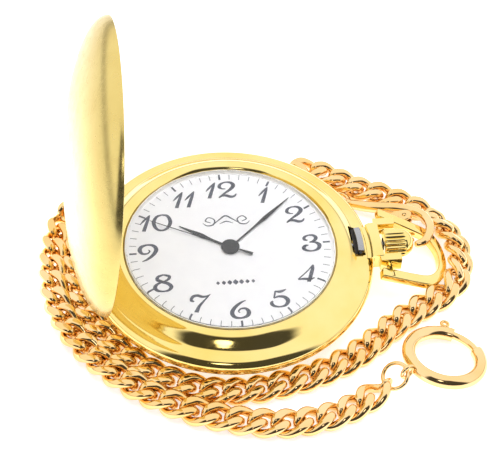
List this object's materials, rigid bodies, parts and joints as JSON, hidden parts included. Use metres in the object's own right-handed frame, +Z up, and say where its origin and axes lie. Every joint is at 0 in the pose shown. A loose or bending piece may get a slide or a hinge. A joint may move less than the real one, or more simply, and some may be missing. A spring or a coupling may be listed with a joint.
{
  "type": "pocket watch",
  "caption": "Hunter-case quartz pocket watch with its hinged lid open, white numeral dial, bow and crown, on a curb chain with swivel snap and spring ring.",
  "frame": {"origin": "centre of the flat rest face under the case back", "axes": "+Z up through the dial, +X towards the crown at 3 o'clock, +Y towards 12 o'clock"},
  "size_m": [0.0705, 0.0563, 0.051],
  "materials": {
    "gold": "polished gold plate",
    "satin_gold": "satin gold plate",
    "chain_gold": "polished orange-gold plate",
    "steel": "bright",
    "brass": "machined",
    "copper": "enamelled wire",
    "enamel_white": "gloss white",
    "hand_black": "gloss black",
    "glass": "clear",
    "rubber": "matte",
    "nylon": "matte",
    "board_green": "matte"
  },
  "bodies": {
    "case": {"back_gasket": "rubber", "battery": "steel", "battery_clamp": "steel", "bow_pin_front": "steel", "bow_pin_rear": "steel", "bridge_screw_east": "steel", "bridge_screw_north": "steel", "bridge_screw_south": "steel", "case_back": "gold", "case_middle": "gold", "chain": "chain_gold", "circuit_board": "board_green", "coil": "copper", "crystal": "glass", "crystal_gasket": "nylon", "dial": "enamel_white", "jump_ring_large": "chain_gold", "jump_ring_small": "chain_gold", "lid_hinge_pin": "steel", "lid_lift_spring": "steel", "main_plate": "brass", "movement_ring": "nylon", "pendant": "gold", "pendant_tube": "brass", "quartz_can": "steel", "spring_ring_body": "chain_gold", "spring_ring_spring": "steel", "stator": "steel", "train_bridge": "steel"},
    "lid": {"lid": "satin_gold"},
    "catch": {"catch_spring": "steel"},
    "push_slide": {"push_sleeve": "steel"},
    "pull_slide": {"detent_collar": "steel"},
    "crown_stem": {"crown": "gold", "stem": "steel", "sliding_pinion": "steel", "crown_gasket": "rubber"},
    "bow_and_snap": {"bow": "gold", "snap_hook": "chain_gold", "snap_rivet": "steel"},
    "gate": {"snap_gate": "chain_gold"},
    "swivel": {"snap_swivel": "chain_gold", "jump_ring_swivel": "chain_gold"},
    "bolt": {"spring_ring_bolt": "chain_gold"},
    "seconds": {"second_wheel": "brass", "second_hand": "hand_black"},
    "minutes": {"centre_wheel": "brass", "minute_hand": "hand_black"},
    "hours": {"hour_wheel": "brass", "hour_hand": "hand_black"},
    "intermediate": {"intermediate_wheel": "brass"},
    "third": {"third_wheel": "brass"},
    "motion_work": {"minute_wheel": "brass"},
    "motor_rotor": {"rotor": "steel"}
  },
  "joints": [
    {"name": "lid_hinge", "type": "hinge", "parent": "case", "child": "lid", "pos_m": [-0.0218, 0, 0.00625], "axis": [0, -1, 0], "range_deg": [-84.5, 0], "stiffness_Nm_per_rad": 0.0006, "springref_deg": 20.05},
    {"name": "crown_push", "type": "slide", "parent": "case", "child": "push_slide", "axis": [-1, 0, 0], "range_m": [0, 0.0005], "stiffness_N_per_m": 900},
    {"name": "catch_slide", "type": "slide", "parent": "case", "child": "catch", "axis": [-1, 0, 0], "range_m": [0, 0.0005]},
    {"name": "crown_pull", "type": "slide", "parent": "push_slide", "child": "pull_slide", "axis": [1, 0, 0], "range_m": [0, 0.001]},
    {"name": "crown_turn", "type": "hinge", "parent": "pull_slide", "child": "crown_stem", "pos_m": [0.02545, 0, 0.00575], "axis": [1, 0, 0], "continuous": true},
    {"name": "bow_swing", "type": "hinge", "parent": "case", "child": "bow_and_snap", "pos_m": [0.0259, 0, 0.0053], "axis": [0, -1, 0], "range_deg": [0, 35]},
    {"name": "gate_swing", "type": "hinge", "parent": "bow_and_snap", "child": "gate", "pos_m": [0.0309, 0.008, 0.00297], "axis": [-0.2093, 0, 0.9779], "range_deg": [0, 9], "stiffness_Nm_per_rad": 0.005},
    {"name": "swivel_turn", "type": "hinge", "parent": "bow_and_snap", "child": "swivel", "pos_m": [0.0229, 0.0133, 0.00126], "axis": [-0.8821, 0.4711, 0], "continuous": true},
    {"name": "bolt_slide", "type": "hinge", "parent": "case", "child": "bolt", "pos_m": [0.032, -0.0216, 0.0023], "axis": [0.1389, 0.1555, 0.978], "range_deg": [0, 40], "stiffness_Nm_per_rad": 0.002, "deforming": ["spring_ring_spring"]},
    {"name": "second_arbor", "type": "hinge", "parent": "case", "child": "seconds", "pos_m": [0, 0, 0.0045], "axis": [0, 0, -1], "continuous": true},
    {"name": "centre_arbor", "type": "hinge", "parent": "case", "child": "minutes", "pos_m": [0, 0, 0.0045], "axis": [0, 0, -1], "continuous": true},
    {"name": "hour_pipe", "type": "hinge", "parent": "case", "child": "hours", "pos_m": [0, 0, 0.0045], "axis": [0, 0, -1], "continuous": true},
    {"name": "intermediate_arbor", "type": "hinge", "parent": "case", "child": "intermediate", "pos_m": [0.0027, 0.00227, 0.0045], "axis": [0, 0, -1], "continuous": true},
    {"name": "third_arbor", "type": "hinge", "parent": "case", "child": "third", "pos_m": [-0.0031, -0.00113, 0.0045], "axis": [0, 0, -1], "continuous": true},
    {"name": "minute_wheel_post", "type": "hinge", "parent": "case", "child": "motion_work", "pos_m": [0.00113, -0.00196, 0.0045], "axis": [0, 0, -1], "continuous": true},
    {"name": "rotor_arbor", "type": "hinge", "parent": "case", "child": "motor_rotor", "pos_m": [0.0055, 0.00329, 0.0045], "axis": [0, 0, -1], "continuous": true}
  ],
  "couplings": [
    {"joint": "catch_slide", "follows": "crown_push", "ratio": 1},
    {"joint": "third_arbor", "follows": "second_arbor", "ratio": -0.13333},
    {"joint": "centre_arbor", "follows": "second_arbor", "ratio": 0.016667},
    {"joint": "minute_wheel_post", "follows": "second_arbor", "ratio": -0.0055556},
    {"joint": "hour_pipe", "follows": "second_arbor", "ratio": 0.0013889},
    {"joint": "intermediate_arbor", "follows": "second_arbor", "ratio": -5},
    {"joint": "rotor_arbor", "follows": "second_arbor", "ratio": 30}
  ]
}
